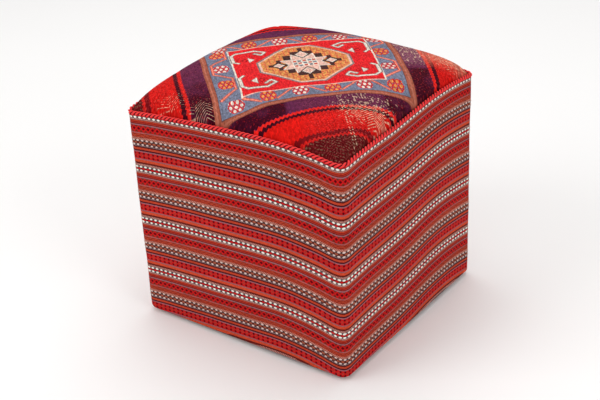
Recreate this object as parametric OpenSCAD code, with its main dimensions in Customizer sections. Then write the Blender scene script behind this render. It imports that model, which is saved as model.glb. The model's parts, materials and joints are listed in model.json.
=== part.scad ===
// Kilim pouf: a square floor seat with a padded wooden box inside, covered in two woven cloths.
// +Z is up and the floor is z = 0. The front is -Y. Front, right (+X), back and left name the four sides.

/* [Pouf] */
// Width across the front, between the cloth faces
body_w = 404; // [360:4:480]
// Depth from front to back, between the cloth faces
body_d = 392; // [360:4:480]
// Height of the top seam above the floor, at the corners
seam_h = 374; // [350:2:420]
// Rise of the top seam from the corners to the middle of a side
seam_bow = 13; // [8:1:18]
// Rise of the foam's shoulder above the seam
shoulder_h = 25; // [16:1:34]
// Further rise of the crown from the shoulder to the middle
crown_h = 5; // [2:1:12]
// Radius of the upright corners
corner_r = 15; // [13:1:22]
// Radius of the cloth where it turns under the box
bottom_r = 8; // [6:1:10]

/* [Cloth and padding] */
// Thickness of the woven cloths
cloth_t = 3; // [2:0.5:4]
// Width of the cloth turned under the box
hem_w = 48; // [44:1:60]
// Thickness of the wadding round the box
side_wadding_t = 9; // [6:1:10]
// Thickness of the wadding over the foam
seat_wadding_t = 6; // [4:1:8]
// Diameter of the twisted cord sewn along the top seam
cord_d = 7; // [5:0.5:8]
// Thickness of the black cloth under the box
dust_cover_t = 0.8; // [0.5:0.1:1.5]

/* [Wooden box] */
// Side of the square corner posts
post_w = 38; // [34:1:44]
// Height of the rails
rail_h = 60; // [50:1:70]
// Thickness of the rails
rail_t = 20; // [18:1:24]
// Thickness of the hardboard sides
panel_t = 4; // [3:0.5:5]
// Thickness of the plywood deck under the foam
deck_t = 12; // [9:1:15]
// Height of the deck's upper face above the floor
deck_top = 332; // [310:2:336]

/* [Fixings] */
// Diameter of the frame screws
frame_screw_d = 5; // [4.5:0.5:6]
// Length of the frame screws
frame_screw_l = 70; // [60:5:75]
// Diameter of the deck screws
deck_screw_d = 4; // [3.5:0.5:4.5]
// Length of the deck screws
deck_screw_l = 35; // [30:5:40]
// Width of a staple's crown
staple_w = 12; // [10:1:14]
// Thickness of a staple's wire
staple_wire = 1; // [0.8:0.1:1.2]
// Length of a staple's legs
staple_leg = 14; // [12:1:16]

/* [Glides] */
// Height of the glides
glide_h = 4; // [3:0.5:6]
// Diameter of the glides
glide_d = 22; // [18:1:26]
// Diameter of a glide's nail
nail_d = 2.2; // [1.8:0.1:2.6]
// Length of a glide's nail above its head
nail_l = 20; // [16:1:24]

/* [Hidden] */

// Steps of the true round shapes, and of the long flat arcs that cut the band's upper edge
round_fn = 48;
arc_fn = 720;
// Gap between soft layers, so that curved faces don't share space
layer_gap = 0.3;
// The foam's profile from its edge to the middle: a higher power is flatter in the middle
profile_power = 7.5;
edge_power = 0.57;
// Steps across each formed sheet and along each side of the cord
kilim_steps = 24;
padding_steps = 16;
cord_rings_per_side = 20;
cord_sides = 8;
// The cord lies this far inside the cloth faces, and the top cloth starts beside it
cord_inset = cord_d / 2 - 1;
top_inset = cord_inset + cord_d / 2 + 0.2;
// How far the foam's walls stand inside the cloth faces, below the seam
foam_inset = cloth_t + side_wadding_t + 0.5;

// Heights above the floor
band_z = glide_h + dust_cover_t;
frame_z = band_z + cloth_t;
top_rail_z = deck_top - deck_t - rail_h;
post_top = deck_top - deck_t;

// The box's outer faces, half its width and depth
panel_inset = cloth_t + side_wadding_t;
frame_hw = body_w / 2 - panel_inset - panel_t;
frame_hd = body_d / 2 - panel_inset - panel_t;
post_x = frame_hw - post_w / 2;
post_y = frame_hd - post_w / 2;
rail_x = frame_hw - rail_t / 2;
rail_y = frame_hd - rail_t / 2;
rail_len_x = 2 * (frame_hw - post_w);
rail_len_y = 2 * (frame_hd - post_w);
panel_h = deck_top - frame_z;

// Screws in the front and back rails stand further apart than those in the side rails, so they miss each other
screw_spread_front = 20;
screw_spread_side = 8;
deck_screw_step_x = 100;
deck_screw_step_y = 90;
screw_head_d = 2;

// Rows of staples down the posts, above the floor
post_staple_rows = [105, 160, 215];
// The staples under the box stand this far inside the cloth faces
hem_staple_inset = 32;
cover_staple_inset = 23;
cover_inset = 12;

// A glide's nail has a flat head
nail_head_d = 3 * nail_d;
nail_head_h = 1.5;

// The foam's shoulder meets its straight walls this far below the seam, and the side wadding stops a little higher
foam_turn = 14;
wadding_stop = 10;
// The side wadding's butt joint is this far from the back, on the left
wadding_joint = 40;

// The four corners, anticlockwise from the front left
CORNERS = [[-1, -1], [1, -1], [1, 1], [-1, 1]];

wood = "burlywood";
hardboard = "saddlebrown";
steel = "silver";

// Shared flat shapes

module rounded_rect(w, d, r) {
    square([w - 2 * r, d], center = true);
    square([w, d - 2 * r], center = true);
    for (c = CORNERS)
        translate([c[0] * (w / 2 - r), c[1] * (d / 2 - r)]) circle(r, $fn = round_fn);
}

module rounded_ring(w, d, r, wall) {
    difference() {
        rounded_rect(w, d, r);
        rounded_rect(w - 2 * wall, d - 2 * wall, max(r - wall, 1));
    }
}

// Everything below the bowed seam line, less drop: one long arc across each pair of sides
module under_seam(drop) {
    radius_x = (pow(body_w / 2, 2) + pow(seam_bow, 2)) / (2 * seam_bow);
    radius_y = (pow(body_d / 2, 2) + pow(seam_bow, 2)) / (2 * seam_bow);
    crest = seam_h + seam_bow - drop;
    translate([0, 0, crest - radius_x]) rotate([90, 0, 0])
        cylinder(h = body_d + 20, r = radius_x, center = true, $fn = arc_fn);
    translate([0, 0, crest - radius_y]) rotate([0, 90, 0])
        cylinder(h = body_w + 20, r = radius_y, center = true, $fn = arc_fn);
}

// The formed sheets: u and v run from -1 to 1 across the pouf, and 1 is the edge

// A point on the right half of a rounded rectangle's outline, v along its side
function edge_point(v, hw, hd, r) =
    abs(v) * hd <= hd - r
        ? [hw, v * hd]
        : let (a = (abs(v) * hd - hd + r) / r * 45)
          [hw - r + r * cos(a), sign(v) * (hd - r + r * sin(a))];

function plan_point(u, v, hw, hd, r) =
    let (k = max(abs(u), abs(v)))
    k == 0 ? [0, 0]
    : abs(u) >= abs(v)
        ? let (p = edge_point(v / k, hw, hd, r)) [sign(u) * p[0] * k, p[1] * k]
        : let (p = edge_point(u / k, hd, hw, r)) [p[1] * k, sign(v) * p[0] * k];

function bow(u) = 1 - u * u;
function profile(u) = pow(max(0, 1 - pow(abs(u), profile_power)), edge_power);

function seam_height(u, v) = seam_h + seam_bow * (bow(u) + bow(v) - bow(u) * bow(v));
function crown_height(u, v) =
    seam_height(u, v) + shoulder_h * profile(u) * profile(v) + crown_h * bow(u) * bow(v);

// A point of the crowned surface, moved inwards and down by inset
function crown_point(u, v, inset) =
    let (p = plan_point(u, v, body_w / 2 - top_inset - inset, body_d / 2 - top_inset - inset,
                        max(corner_r - top_inset - inset, 2)))
    [p[0], p[1], crown_height(u, v) - inset];

// Steps are closer towards the edge, where the surface turns
function spaced(i, n) = sin(90 * (2 * i / n - 1));

function crown_grid(n, inset) =
    [for (j = [0:n], i = [0:n]) crown_point(spaced(i, n), spaced(j, n), inset)];

// Numbers of the outline's points in such a grid, anticlockwise from above
function rim(n) = concat(
    [for (i = [0:n - 1]) i],
    [for (j = [0:n - 1]) j * (n + 1) + n],
    [for (i = [n:-1:1]) n * (n + 1) + i],
    [for (j = [n:-1:1]) j * (n + 1)]
);

// Two triangles for each cell, which face up when seen is true and down when it isn't
function grid_faces(n, first, seen) = [
    for (j = [0:n - 1], i = [0:n - 1])
        let (a = first + j * (n + 1) + i, b = a + 1, c = b + n + 1, d = a + n + 1)
        each (seen ? [[a, c, b], [a, d, c]] : [[a, b, c], [a, c, d]])
];

// Triangles between two closed loops of points, the first above the second, both anticlockwise from above
function wall_faces(upper, lower) = [
    for (k = [0:len(upper) - 1])
        let (m = (k + 1) % len(upper))
        each [[upper[k], upper[m], lower[m]], [upper[k], lower[m], lower[k]]]
];

// A crowned sheet from inset to inset + thickness
module crowned_sheet(n, inset, thickness) {
    count = (n + 1) * (n + 1);
    upper = rim(n);
    polyhedron(
        points = concat(crown_grid(n, inset), crown_grid(n, inset + thickness)),
        faces = concat(
            grid_faces(n, 0, true),
            grid_faces(n, count, false),
            wall_faces(upper, [for (k = upper) k + count])
        )
    );
}

// The wooden box

module screw(d, l) {
    head_d = screw_head_d * d;
    head_h = (head_d - d) / 2;
    translate([0, 0, -head_h]) cylinder(h = head_h, d1 = d, d2 = head_d, $fn = round_fn);
    translate([0, 0, -l + d]) cylinder(h = l - d - head_h, d = d, $fn = round_fn);
    translate([0, 0, -l]) cylinder(h = d, d1 = 0.6, d2 = d, $fn = round_fn);
}

// Screws through the posts into the ends of the rails, heads flush with the posts' outer faces
module frame_screw_set() {
    for (z = [frame_z + rail_h / 2, top_rail_z + rail_h / 2], c = CORNERS, up = [-1, 1]) {
        translate([c[0] * frame_hw, c[1] * rail_y, z + up * screw_spread_front])
            rotate([0, c[0] * 90, 0]) screw(frame_screw_d, frame_screw_l);
        translate([c[0] * rail_x, c[1] * frame_hd, z + up * screw_spread_side])
            rotate([c[1] * -90, 0, 0]) screw(frame_screw_d, frame_screw_l);
    }
}

// Screws down through the deck into the top rails
module deck_screw_set() {
    for (step = [-1, 0, 1], side = [-1, 1]) {
        translate([step * deck_screw_step_x, side * rail_y, deck_top]) screw(deck_screw_d, deck_screw_l);
        translate([side * rail_x, step * deck_screw_step_y, deck_top]) screw(deck_screw_d, deck_screw_l);
    }
}

// The glides' nails, with their heads under the cloth
module glide_nail_set() {
    for (c = CORNERS) translate([c[0] * post_x, c[1] * post_y, glide_h]) {
        translate([0, 0, -nail_head_h]) cylinder(h = nail_head_h, d = nail_head_d, $fn = round_fn);
        cylinder(h = nail_l - nail_d, d = nail_d, $fn = round_fn);
        translate([0, 0, nail_l - nail_d]) cylinder(h = nail_d, d1 = nail_d, d2 = 0.4, $fn = round_fn);
    }
}

module corner_post(c) {
    color(wood) difference() {
        translate([c[0] * post_x - post_w / 2, c[1] * post_y - post_w / 2, frame_z])
            cube([post_w, post_w, post_top - frame_z]);
        frame_screw_set();
        glide_nail_set();
    }
}

// A rail along X at the front or back
module long_rail(side, z) {
    color(wood) difference() {
        translate([-rail_len_x / 2, side * rail_y - rail_t / 2, z]) cube([rail_len_x, rail_t, rail_h]);
        frame_screw_set();
        deck_screw_set();
    }
}

// A rail along Y at the left or right
module cross_rail(side, z) {
    color(wood) difference() {
        translate([side * rail_x - rail_t / 2, -rail_len_y / 2, z]) cube([rail_t, rail_len_y, rail_h]);
        frame_screw_set();
        deck_screw_set();
    }
}

// The front and back panels run past the ends of the side panels
module long_panel(side) {
    color(hardboard) translate([-frame_hw - panel_t, side * (frame_hd + panel_t / 2) - panel_t / 2, frame_z])
        cube([2 * (frame_hw + panel_t), panel_t, panel_h]);
}

module cross_panel(side) {
    color(hardboard) translate([side * (frame_hw + panel_t / 2) - panel_t / 2, -frame_hd, frame_z])
        cube([panel_t, 2 * frame_hd, panel_h]);
}

module top_deck() {
    color("wheat") difference() {
        translate([-frame_hw, -frame_hd, post_top]) cube([2 * frame_hw, 2 * frame_hd, deck_t]);
        deck_screw_set();
    }
}

module frame_screws() { color(steel) frame_screw_set(); }
module deck_screws() { color(steel) deck_screw_set(); }

// A staple with its crown along X and its legs down, the crown's outer face at z = 0
module staple(leg) {
    translate([0, staple_wire / 2, 0]) rotate([90, 0, 0]) linear_extrude(staple_wire) difference() {
        translate([-staple_w / 2, -leg]) square([staple_w, leg]);
        translate([-staple_w / 2 + staple_wire, -leg - 1]) square([staple_w - 2 * staple_wire, leg + 1 - staple_wire]);
    }
}

// Staples round the edges of one panel, seen from outside: across the rails and down the posts
module panel_staple_set(half_len) {
    rows = [frame_z + rail_h / 2, top_rail_z + rail_h / 2];
    for (z = rows, k = [-1.5:1:1.5])
        translate([k * half_len / 2.5, 0, z]) rotate([-90, 0, 180]) staple(staple_leg);
    for (side = [-1, 1], z = post_staple_rows)
        translate([side * (half_len - post_w / 2), 0, z]) rotate([-90, 90, 180]) staple(staple_leg);
}

module panel_staples() {
    color(steel) {
        translate([0, -frame_hd - panel_t, 0]) panel_staple_set(frame_hw);
        translate([0, frame_hd + panel_t, 0]) rotate([0, 0, 180]) panel_staple_set(frame_hw);
        translate([frame_hw + panel_t, 0, 0]) rotate([0, 0, 90]) panel_staple_set(frame_hd);
        translate([-frame_hw - panel_t, 0, 0]) rotate([0, 0, -90]) panel_staple_set(frame_hd);
    }
}

// Padding and cloth

// A solid foam block: crowned like the top, then out to the box and straight down to the deck
module seat_foam() {
    n = padding_steps;
    inset = cloth_t + seat_wadding_t + 2 * layer_gap;
    count = (n + 1) * (n + 1);
    edge = rim(n);
    along = [for (k = edge) let (i = k % (n + 1), j = floor(k / (n + 1))) [spaced(i, n), spaced(j, n)]];
    wall = [
        for (z = [seam_h - foam_turn, deck_top], p = along)
            let (q = plan_point(p[0], p[1], body_w / 2 - foam_inset, body_d / 2 - foam_inset, 3)) [q[0], q[1], z]
    ];
    turn = [for (k = [0:len(edge) - 1]) count + k];
    foot = [for (k = [0:len(edge) - 1]) count + len(edge) + k];
    color("cornsilk") polyhedron(
        points = concat(crown_grid(n, inset), wall),
        faces = concat(
            grid_faces(n, 0, true),
            wall_faces(edge, turn),
            wall_faces(turn, foot),
            [foot]
        )
    );
}

module seat_wadding() {
    color("white") crowned_sheet(padding_steps, cloth_t + layer_gap, seat_wadding_t);
}

// One sheet wrapped round the box, butted at the back left corner
module side_wadding() {
    slit = 1;
    outer = cloth_t + layer_gap;
    color("whitesmoke") difference() {
        translate([0, 0, band_z + bottom_r]) linear_extrude(seam_h - band_z - bottom_r - wadding_stop) difference() {
            rounded_rect(body_w - 2 * outer, body_d - 2 * outer, corner_r - outer);
            square([body_w - 2 * panel_inset, body_d - 2 * panel_inset], center = true);
        }
        translate([-body_w / 2, body_d / 2 - wadding_joint, 0]) cube([body_w / 4, slit, seam_h]);
    }
}

module kilim_top() {
    color("firebrick") crowned_sheet(kilim_steps, 0, cloth_t);
}

// The band's wall and the bend under it, as a profile with its outer face at x = 0
module band_profile() {
    translate([-cloth_t, band_z + bottom_r]) square([cloth_t, seam_h + seam_bow - band_z]);
    intersection() {
        translate([-bottom_r, band_z + bottom_r]) difference() {
            circle(bottom_r, $fn = round_fn);
            circle(bottom_r - cloth_t, $fn = round_fn);
        }
        translate([-bottom_r, band_z]) square(bottom_r);
    }
}

module band_wall(length) {
    rotate([90, 0, 0]) linear_extrude(length, center = true) band_profile();
}

// A strip of cloth round the box: its upper edge follows the bowed seam, its lower edge turns under
module side_band() {
    flat_w = body_w - 2 * corner_r;
    flat_d = body_d - 2 * corner_r;
    color("brown") difference() {
        union() {
            intersection() {
                union() {
                    translate([body_w / 2, 0, 0]) band_wall(flat_d);
                    translate([-body_w / 2, 0, 0]) rotate([0, 0, 180]) band_wall(flat_d);
                    translate([0, body_d / 2, 0]) rotate([0, 0, 90]) band_wall(flat_w);
                    translate([0, -body_d / 2, 0]) rotate([0, 0, -90]) band_wall(flat_w);
                    for (k = [0:3]) translate([CORNERS[k][0] * flat_w / 2, CORNERS[k][1] * flat_d / 2, 0])
                        rotate([0, 0, 180 + 90 * k]) rotate_extrude(angle = 90, $fn = round_fn)
                            translate([corner_r, 0]) band_profile();
                }
                under_seam(cord_d / 2 + 2 * layer_gap);
            }
            translate([0, 0, band_z]) linear_extrude(cloth_t)
                rounded_ring(body_w - 2 * bottom_r, body_d - 2 * bottom_r, corner_r - bottom_r, hem_w - bottom_r);
        }
        glide_nail_set();
        hem_staple_set();
        dust_cover_staple_set();
    }
}

function cord_ring(k) =
    let (
        side = floor(k / cord_rings_per_side),
        s = spaced(k % cord_rings_per_side, cord_rings_per_side)
    )
    side == 0 ? [s, -1] : side == 1 ? [1, s] : side == 2 ? [-s, 1] : [-1, -s];

function cord_centre(k) =
    let (
        e = cord_ring(k),
        p = plan_point(e[0], e[1], body_w / 2 - cord_inset, body_d / 2 - cord_inset, corner_r - cord_inset)
    )
    [p[0], p[1], seam_height(e[0], e[1])];

// One cord all the way round the top seam, its two ends meeting
module top_seam_cord() {
    rings = 4 * cord_rings_per_side;
    centres = [for (k = [0:rings - 1]) cord_centre(k)];
    points = [
        for (k = [0:rings - 1])
            let (
                ahead = centres[(k + 1) % rings] - centres[(k + rings - 1) % rings],
                out = [ahead[1], -ahead[0], 0] / norm([ahead[1], -ahead[0]])
            )
            for (m = [0:cord_sides - 1])
                let (a = 360 * m / cord_sides)
                centres[k] + cord_d / 2 * (out * cos(a) + [0, 0, sin(a)])
    ];
    color("red") polyhedron(
        points = points,
        faces = [
            for (k = [0:rings - 1], m = [0:cord_sides - 1])
                let (
                    a = k * cord_sides + m,
                    b = k * cord_sides + (m + 1) % cord_sides,
                    c = ((k + 1) % rings) * cord_sides + (m + 1) % cord_sides,
                    d = ((k + 1) % rings) * cord_sides + m
                )
                each [[a, b, c], [a, c, d]]
        ]
    );
}

// Stitches that close the band into a ring, along its back left corner
module band_closing_seam() {
    stitch_d = 2;
    stitch_step = 8;
    corner = [-body_w / 2 + corner_r, body_d / 2 - corner_r];
    color("darkred") for (z = [band_z + bottom_r + stitch_step : stitch_step : seam_h - cord_d / 2 - stitch_step])
        translate([corner[0], corner[1], z]) rotate([0, 0, 135]) translate([corner_r + stitch_d / 2, 0, 0])
            rotate([60, 0, 0]) cylinder(h = stitch_step, d = stitch_d, center = true, $fn = round_fn);
}

// Staples up into the rails: one row holds the hem, the other the black cloth over it
module underside_staples(z, inset, count, leg) {
    reach_x = frame_hw - post_w - staple_w;
    reach_y = frame_hd - post_w - staple_w;
    for (k = [0:count - 1], side = [-1, 1]) {
        along = 2 * k / (count - 1) - 1;
        translate([along * reach_x, side * (body_d / 2 - inset), z]) rotate([180, 0, 0]) staple(leg);
        translate([side * (body_w / 2 - inset), along * reach_y, z]) rotate([180, 0, 90]) staple(leg);
    }
}

module hem_staple_set() { underside_staples(band_z, hem_staple_inset, 5, staple_leg); }

module hem_staples() { color(steel) hem_staple_set(); }

module dust_cover_staple_set() { underside_staples(glide_h - staple_wire, cover_staple_inset, 6, staple_leg); }

module dust_cover_staples() { color(steel) dust_cover_staple_set(); }

module dust_cover() {
    color("#26262a") difference() {
        translate([0, 0, glide_h]) linear_extrude(dust_cover_t)
            rounded_rect(body_w - 2 * cover_inset, body_d - 2 * cover_inset, cover_inset / 2);
        glide_nail_set();
        dust_cover_staple_set();
    }
}

// A moulded disc with its edge eased, on the head of its nail
module glide(c) {
    ease = 1;
    color("sienna") translate([c[0] * post_x, c[1] * post_y, 0]) difference() {
        union() {
            cylinder(h = ease, d1 = glide_d - 2 * ease, d2 = glide_d, $fn = round_fn);
            translate([0, 0, ease]) cylinder(h = glide_h - ease, d = glide_d, $fn = round_fn);
        }
        translate([0, 0, glide_h - nail_head_h]) cylinder(h = glide_h, d = nail_head_d, $fn = round_fn);
    }
}

module glide_nails() { color(steel) glide_nail_set(); }

corner_post(CORNERS[0]);  // corner_post_front_left
corner_post(CORNERS[1]);  // corner_post_front_right
corner_post(CORNERS[2]);  // corner_post_back_right
corner_post(CORNERS[3]);  // corner_post_back_left
long_rail(-1, frame_z);  // bottom_rail_front
cross_rail(1, frame_z);  // bottom_rail_right
long_rail(1, frame_z);  // bottom_rail_back
cross_rail(-1, frame_z);  // bottom_rail_left
long_rail(-1, top_rail_z);  // top_rail_front
cross_rail(1, top_rail_z);  // top_rail_right
long_rail(1, top_rail_z);  // top_rail_back
cross_rail(-1, top_rail_z);  // top_rail_left
long_panel(-1);  // side_panel_front
cross_panel(1);  // side_panel_right
long_panel(1);  // side_panel_back
cross_panel(-1);  // side_panel_left
top_deck();
frame_screws();
deck_screws();
panel_staples();
seat_foam();
seat_wadding();
side_wadding();
kilim_top();
side_band();
top_seam_cord();
band_closing_seam();
hem_staples();
dust_cover();
dust_cover_staples();
glide(CORNERS[0]);  // glide_front_left
glide(CORNERS[1]);  // glide_front_right
glide(CORNERS[2]);  // glide_back_right
glide(CORNERS[3]);  // glide_back_left
glide_nails();
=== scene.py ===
import json
import math

import bpy
from mathutils import Euler, Matrix, Vector, noise


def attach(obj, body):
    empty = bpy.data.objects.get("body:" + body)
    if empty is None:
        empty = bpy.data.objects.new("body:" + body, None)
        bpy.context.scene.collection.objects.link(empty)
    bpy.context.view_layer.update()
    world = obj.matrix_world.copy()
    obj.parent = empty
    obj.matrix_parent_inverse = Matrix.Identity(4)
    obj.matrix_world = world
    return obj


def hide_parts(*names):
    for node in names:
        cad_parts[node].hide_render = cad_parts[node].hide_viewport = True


# Kilim pouf: a padded wooden box in two hand-woven cloths, with a twisted cord over the seam between them.
# Metres, +Z up, floor at z = 0; the front is -Y and the right face is +X.

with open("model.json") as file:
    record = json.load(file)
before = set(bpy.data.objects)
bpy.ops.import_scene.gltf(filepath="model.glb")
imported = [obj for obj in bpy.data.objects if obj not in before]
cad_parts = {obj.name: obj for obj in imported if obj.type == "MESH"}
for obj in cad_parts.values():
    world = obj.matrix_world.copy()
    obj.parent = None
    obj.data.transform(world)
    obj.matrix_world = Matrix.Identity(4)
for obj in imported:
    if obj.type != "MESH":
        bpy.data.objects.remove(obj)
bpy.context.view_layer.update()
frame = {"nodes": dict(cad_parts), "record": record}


def addObject(name, data):
    thing = bpy.data.objects.new(name, data)
    bpy.context.scene.collection.objects.link(thing)
    return thing


# Camera: where the photograph was taken from

view = {
    "position": (1.12834, -1.57200, 1.20525),
    "azimuth": 36.016, "elevation": 27.933, "roll": -2.203,  # degrees
    "lens": 79.5, "sensor": 36.0,  # millimetres
}


def makeCamera():
    data = bpy.data.cameras.new("photoCamera")
    data.lens = view["lens"]
    data.sensor_width = view["sensor"]
    camera = addObject("photoCamera", data)
    turn = Euler((math.radians(90 - view["elevation"]), 0, math.radians(view["azimuth"])))
    roll = Matrix.Rotation(math.radians(view["roll"]), 4, "Z")
    camera.matrix_world = Matrix.Translation(view["position"]) @ turn.to_matrix().to_4x4() @ roll
    bpy.context.scene.camera = camera


makeCamera()
print("camera placed")

# Shape: the outer faces of the pouf, which every cloth and pad follows

pouf = {
    "width": 0.404, "depth": 0.392, "seamHeight": 0.374, "seamBow": 0.013,
    "shoulder": 0.025, "crown": 0.005, "cornerRadius": 0.015, "leastRadius": 0.002, "bottomRadius": 0.0065,
    "clothBottom": 0.0051, "deckTop": 0.332, "panelInset": 0.012, "topInset": 0.0052,
    "flatPower": 7.5, "edgePower": 0.57,  # the foam's profile, from its edge to its middle
    "fullerLeft": 0.16, "fullerBack": 0.12,  # the shoulder is worn lower on the right and at the front
    "softWall": (0.06, 0.0008), "softTop": (0.05, 0.0016), "softFine": (0.018, 0.0005),  # size and height
    "fadeLow": 0.04, "fadeHigh": 0.02,  # near the floor and near the seam the faces are even
}
halfWidth = pouf["width"] / 2
halfDepth = pouf["depth"] / 2
mm = 0.001

# How far each corner leans from a true box: x, y, z in mm at the seam, then at the floor
leans = {
    (-1, -1): ((0.5, -1.5, -0.9), (1.0, 6.5, 0.0)),
    (1, -1): ((-1.1, 7.2, 1.1), (-3.9, 6.0, 0.0)),
    (1, 1): ((-8.2, 11.3, 2.3), (-2.6, 7.0, 0.0)),
    (-1, 1): ((5.0, -8.0, 0.0), (0.0, 0.0, 0.0)),
}


def bow(u):
    return 1 - u * u


def profile(u):
    return max(0.0, 1 - abs(u) ** pouf["flatPower"]) ** pouf["edgePower"]


def seamHeight(u, v):
    return pouf["seamHeight"] + pouf["seamBow"] * (bow(u) + bow(v) - bow(u) * bow(v))


def edgePoint(v, w, d, r):
    if abs(v) * d <= d - r:
        return w, v * d
    turn = (abs(v) * d - d + r) / r * math.pi / 4
    return w - r + r * math.cos(turn), math.copysign(d - r + r * math.sin(turn), v)


# A point of a rounded rectangle: u and v run from -1 to 1, and 1 is the edge
def planPoint(u, v, inset):
    w = halfWidth - inset
    d = halfDepth - inset
    r = max(pouf["cornerRadius"] - inset, pouf["leastRadius"])
    k = max(abs(u), abs(v))
    if k == 0:
        return 0.0, 0.0
    if abs(u) >= abs(v):
        a, b = edgePoint(v / k, w, d, r)
        return math.copysign(a * k, u), b * k
    a, b = edgePoint(u / k, d, w, r)
    return b * k, math.copysign(a * k, v)


# How far the point moves with the leaning corners; h is 0 at the floor and 1 at the seam
def leanAt(u, v, h):
    shift = Vector((0, 0, 0))
    for (cu, cv), (top, bottom) in leans.items():
        share = (1 + cu * u) * (1 + cv * v) / 4 * mm
        shift += share * (h * Vector(top) + (1 - h) * Vector(bottom))
    return shift


# Round the pouf: side 0 is the front, 1 the right, 2 the back and 3 the left, t runs from -1 to 1
def ringPoint(side, t):
    return ((t, -1), (1, t), (-t, 1), (-1, -t))[side]


def sideLength(side):
    return pouf["width"] if side % 2 == 0 else pouf["depth"]


# The weaving isn't quite level: each wave is its place in mm round the pouf, its half width,
# its drop, and how much more it drops for each 100 mm further down
waves = [
    (70, 60, 1.6, 0.2), (240, 75, -2.0, -0.3), (383, 30, -0.6, 0.0),
    (520, 60, 1.4, 0.1), (692, 50, -2.5, -0.8), (774, 12, 1.8, 0.0), (800, 30, -1.4, 0.1),
    (950, 60, 6.6, -0.5), (1120, 90, -0.5, -2.4), (1290, 70, 2.2, -0.4), (1470, 80, -1.8, 0.3),
]


def rowDrop(s, depth):
    total = 0.0
    for place, spread, drop, more in waves:
        away = (s / mm - place) / spread
        total += (drop + more * depth / mm / 100) * math.exp(-away * away / 2)
    return total * mm


# Distance round the pouf from the back left corner, along the left side first
def aroundAt(side, t):
    order = (side + 1) % 4
    start = sum(sideLength((k + 3) % 4) for k in range(order))
    return start + (t + 1) / 2 * sideLength(side)


perimeter = 2 * (pouf["width"] + pouf["depth"])
cordDepth = 0.0056  # the cord's middle, below the seam line of a true box


# A soft unevenness of the covered faces
def billow(x, y, z, size, height):
    return height * noise.noise(Vector((x, y, z)) / size)


# A point of the upright faces, depth below the seam line, moved inwards by inset
def wallPoint(side, t, depth, inset=0.0):
    u, v = ringPoint(side, t)
    x, y = planPoint(u, v, inset)
    z = seamHeight(u, v) - depth
    fade = max(0.0, min(1.0, z / pouf["fadeLow"], depth / pouf["fadeHigh"]))
    out = Vector((u * (abs(u) == 1), v * (abs(v) == 1), 0))
    soft = billow(x, y, z, *pouf["softWall"]) * fade
    return Vector((x, y, z)) + out.normalized() * soft + leanAt(u, v, z / seamHeight(u, v))


# A point of the crowned top, moved inwards and down by thickness
def topPoint(u, v, thickness=0.0):
    x, y = planPoint(u, v, pouf["topInset"] + thickness)
    full = profile(u) * profile(v)
    tilt = 1 - pouf["fullerLeft"] * u + pouf["fullerBack"] * v
    rise = pouf["shoulder"] * full * tilt + pouf["crown"] * bow(u) * bow(v)
    if abs(u) >= abs(v):
        side, t = (1, v) if u > 0 else (3, -v)
    else:
        side, t = (0, u) if v < 0 else (2, -u)
    drop = (1 - full) ** 3 * (cordDepth + rowDrop(aroundAt(side, t), 0))
    soft = billow(x, y, 0, *pouf["softTop"]) * full + billow(x, y, 3, *pouf["softFine"]) * full
    return Vector((x, y, seamHeight(u, v) + rise - drop + soft - thickness)) + leanAt(u, v, 1)


# A surface at this depth under the crowned top
def underTop(thickness):
    return lambda u, v: topPoint(u, v, thickness)


# Meshes

def finishMesh(name, points, faces, corners=None):
    mesh = bpy.data.meshes.new(name)
    mesh.from_pydata([tuple(p) for p in points], [], faces)
    if corners:
        layer = mesh.uv_layers.new(name="cloth")
        flat = [value for face in corners for corner in face for value in corner]
        layer.data.foreach_set("uv", flat)
    mesh.shade_smooth()
    mesh.validate()
    piece = addObject(name, mesh)
    return piece


# Steps from -1 to 1 that are closer at the ends
def spacedSteps(count, pull=0.6):
    steps = []
    for i in range(count + 1):
        t = 2 * i / count - 1
        steps.append((1 - pull) * t + pull * math.sin(t * math.pi / 2))
    return steps


# A closed sheet or block between an upper and a lower surface, both on the same steps
def closedSheet(name, steps, upper, lower, clothAt=None):
    n = len(steps)
    points = [upper(u, v) for v in steps for u in steps]
    points += [lower(u, v) for v in steps for u in steps]
    faces = []
    for j in range(n - 1):
        for i in range(n - 1):
            a = j * n + i
            faces.append((a, a + 1, a + n + 1, a + n))
            faces.append((a + n * n, a + n + n * n, a + n + 1 + n * n, a + 1 + n * n))
    rim = []
    for start, step in ((0, 1), (n - 1, n), (n * n - 1, -1), (n * n - n, -n)):
        rim += [start + step * k for k in range(n - 1)]
    for k, a in enumerate(rim):
        b = rim[(k + 1) % len(rim)]
        faces.append((a, a + n * n, b + n * n, b))
    corners = None
    if clothAt:
        cloth = [clothAt(p) for p in points]
        corners = [[cloth[i] for i in face] for face in faces]
    return finishMesh(name, points, faces, corners)


ringOrder = [3, 0, 1, 2]  # the left side first, from the back left corner


# Steps all the way round the pouf, with the rounded ends of each side in steps of their own
def ringSteps(middle, ends):
    columns = []
    for side in ringOrder:
        bend = 2 * pouf["cornerRadius"] / sideLength(side)
        steps = [-1 + bend * k / ends for k in range(ends)]
        steps += [-1 + bend + (2 - 2 * bend) * k / middle for k in range(middle)]
        steps += [1 - bend + bend * k / ends for k in range(ends)]
        columns += [(side, t) for t in steps]
    return columns


# A ring round the pouf: its section is a closed loop of points, which sectionAt gives
def closedRing(name, columns, rows, sectionAt, clothAt=None):
    count = len(columns)
    points = []
    for side, t in columns:
        points += [sectionAt(side, t, row) for row in range(rows)]
    faces = []
    corners = []
    for c in range(count):
        d = (c + 1) % count
        for r in range(rows):
            s = (r + 1) % rows
            faces.append((c * rows + r, c * rows + s, d * rows + s, d * rows + r))
            if clothAt:
                here = aroundAt(*columns[c])
                there = aroundAt(*columns[d]) if d > 0 else perimeter
                corners.append([
                    clothAt(here, columns[c], r), clothAt(here, columns[c], r + 1),
                    clothAt(there, columns[d], r + 1), clothAt(there, columns[d], r),
                ])
    return finishMesh(name, points, faces, corners)


# Node trees

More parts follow.
